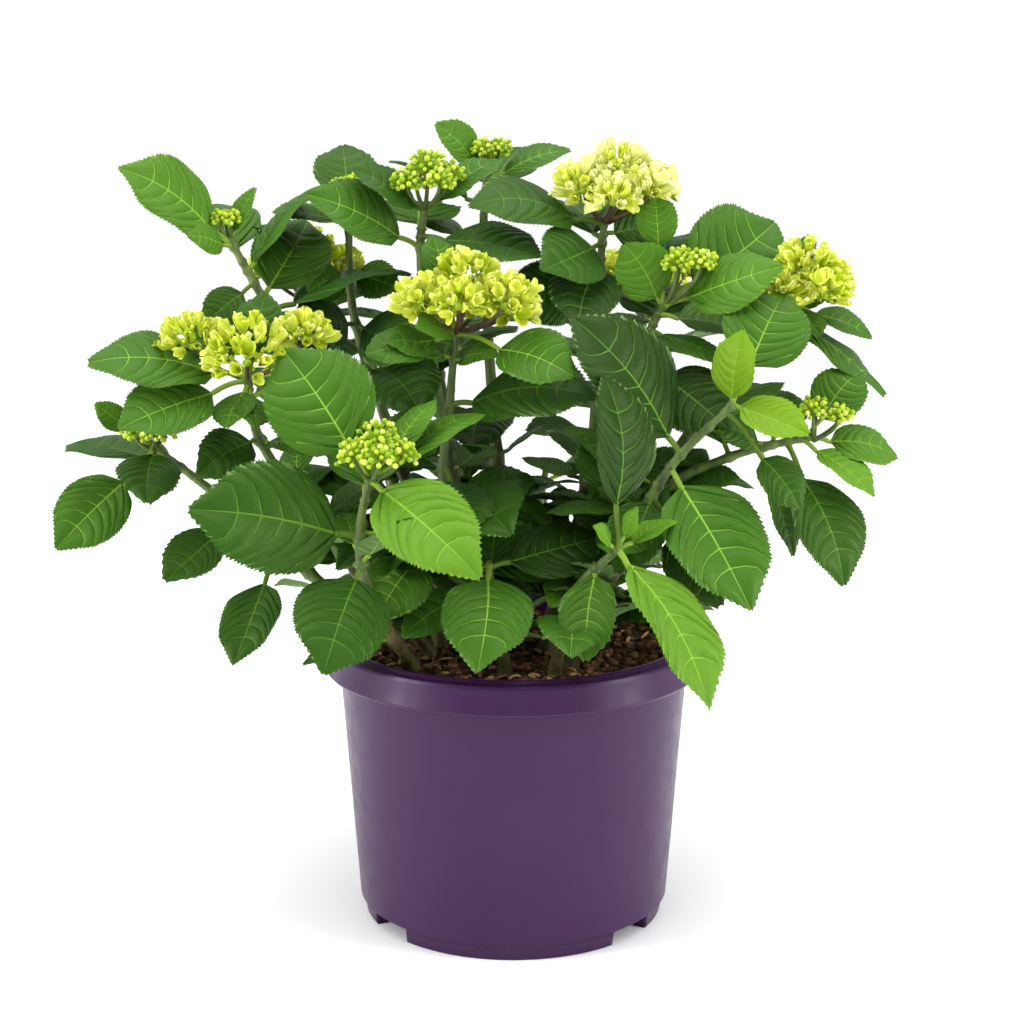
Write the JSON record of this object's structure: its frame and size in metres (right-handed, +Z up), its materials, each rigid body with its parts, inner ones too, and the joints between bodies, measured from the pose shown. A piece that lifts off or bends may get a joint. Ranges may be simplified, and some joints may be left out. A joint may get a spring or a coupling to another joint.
{
  "type": "potted hydrangea shrub",
  "caption": "Bushy leafy shrub with domed pale green flower heads, standing in a round tapered plastic nursery pot with a banded rim.",
  "frame": {"origin": "middle of the pot's flat underside", "axes": "+Z up, -Y towards the front of the plant, +X to the right seen from the front"},
  "size_m": [0.5087, 0.3725, 0.4925],
  "materials": {
    "pot": "moulded purple plastic, satin",
    "soil": "loose peat and bark, matt",
    "stems": "green young wood, slightly rough",
    "leaves": "fresh green leaves, satin above",
    "blossom": "pale lime florets, matt",
    "flower_buds": "yellow-green buds, matt"
  },
  "bodies": {
    "root": {"pot": "pot", "soil": "soil", "stem_left_high": "stems", "stem_left_bloom": "stems", "stem_left_low": "stems", "stem_front_left": "stems", "stem_centre": "stems", "stem_top_left": "stems", "stem_top_mid": "stems", "stem_top_back": "stems", "stem_right_high": "stems", "stem_right_mid": "stems", "stem_right_far": "stems", "stem_right_low": "stems", "stem_right_front": "stems", "stem_young": "stems", "stem_low_front": "stems", "stem_back_left": "stems", "stem_back_centre": "stems", "stem_back_right": "stems", "stem_back_low": "stems", "buds_left_high": "flower_buds", "bloom_left_bloom": "blossom", "buds_left_low": "flower_buds", "buds_front_left": "flower_buds", "bloom_centre": "blossom", "buds_top_left": "flower_buds", "buds_top_mid": "flower_buds", "buds_top_back": "flower_buds", "bloom_right_high": "blossom", "buds_right_mid": "flower_buds", "bloom_right_far": "blossom", "buds_right_low": "flower_buds", "bloom_back_left": "blossom", "buds_back_centre": "flower_buds", "bloom_back_right": "blossom", "leaves_left_high": "leaves", "leaves_left_bloom": "leaves", "leaves_left_low": "leaves", "leaves_front_left": "leaves", "leaves_centre": "leaves", "leaves_top_left": "leaves", "leaves_top_mid": "leaves", "leaves_top_back": "leaves", "leaves_right_high": "leaves", "leaves_right_mid": "leaves", "leaves_right_far": "leaves", "leaves_right_low": "leaves", "leaves_right_front": "leaves", "leaves_young": "leaves", "leaves_low_front": "leaves", "leaves_back_left": "leaves", "leaves_back_centre": "leaves", "leaves_back_right": "leaves", "leaves_back_low": "leaves"}
  },
  "joints": []
}
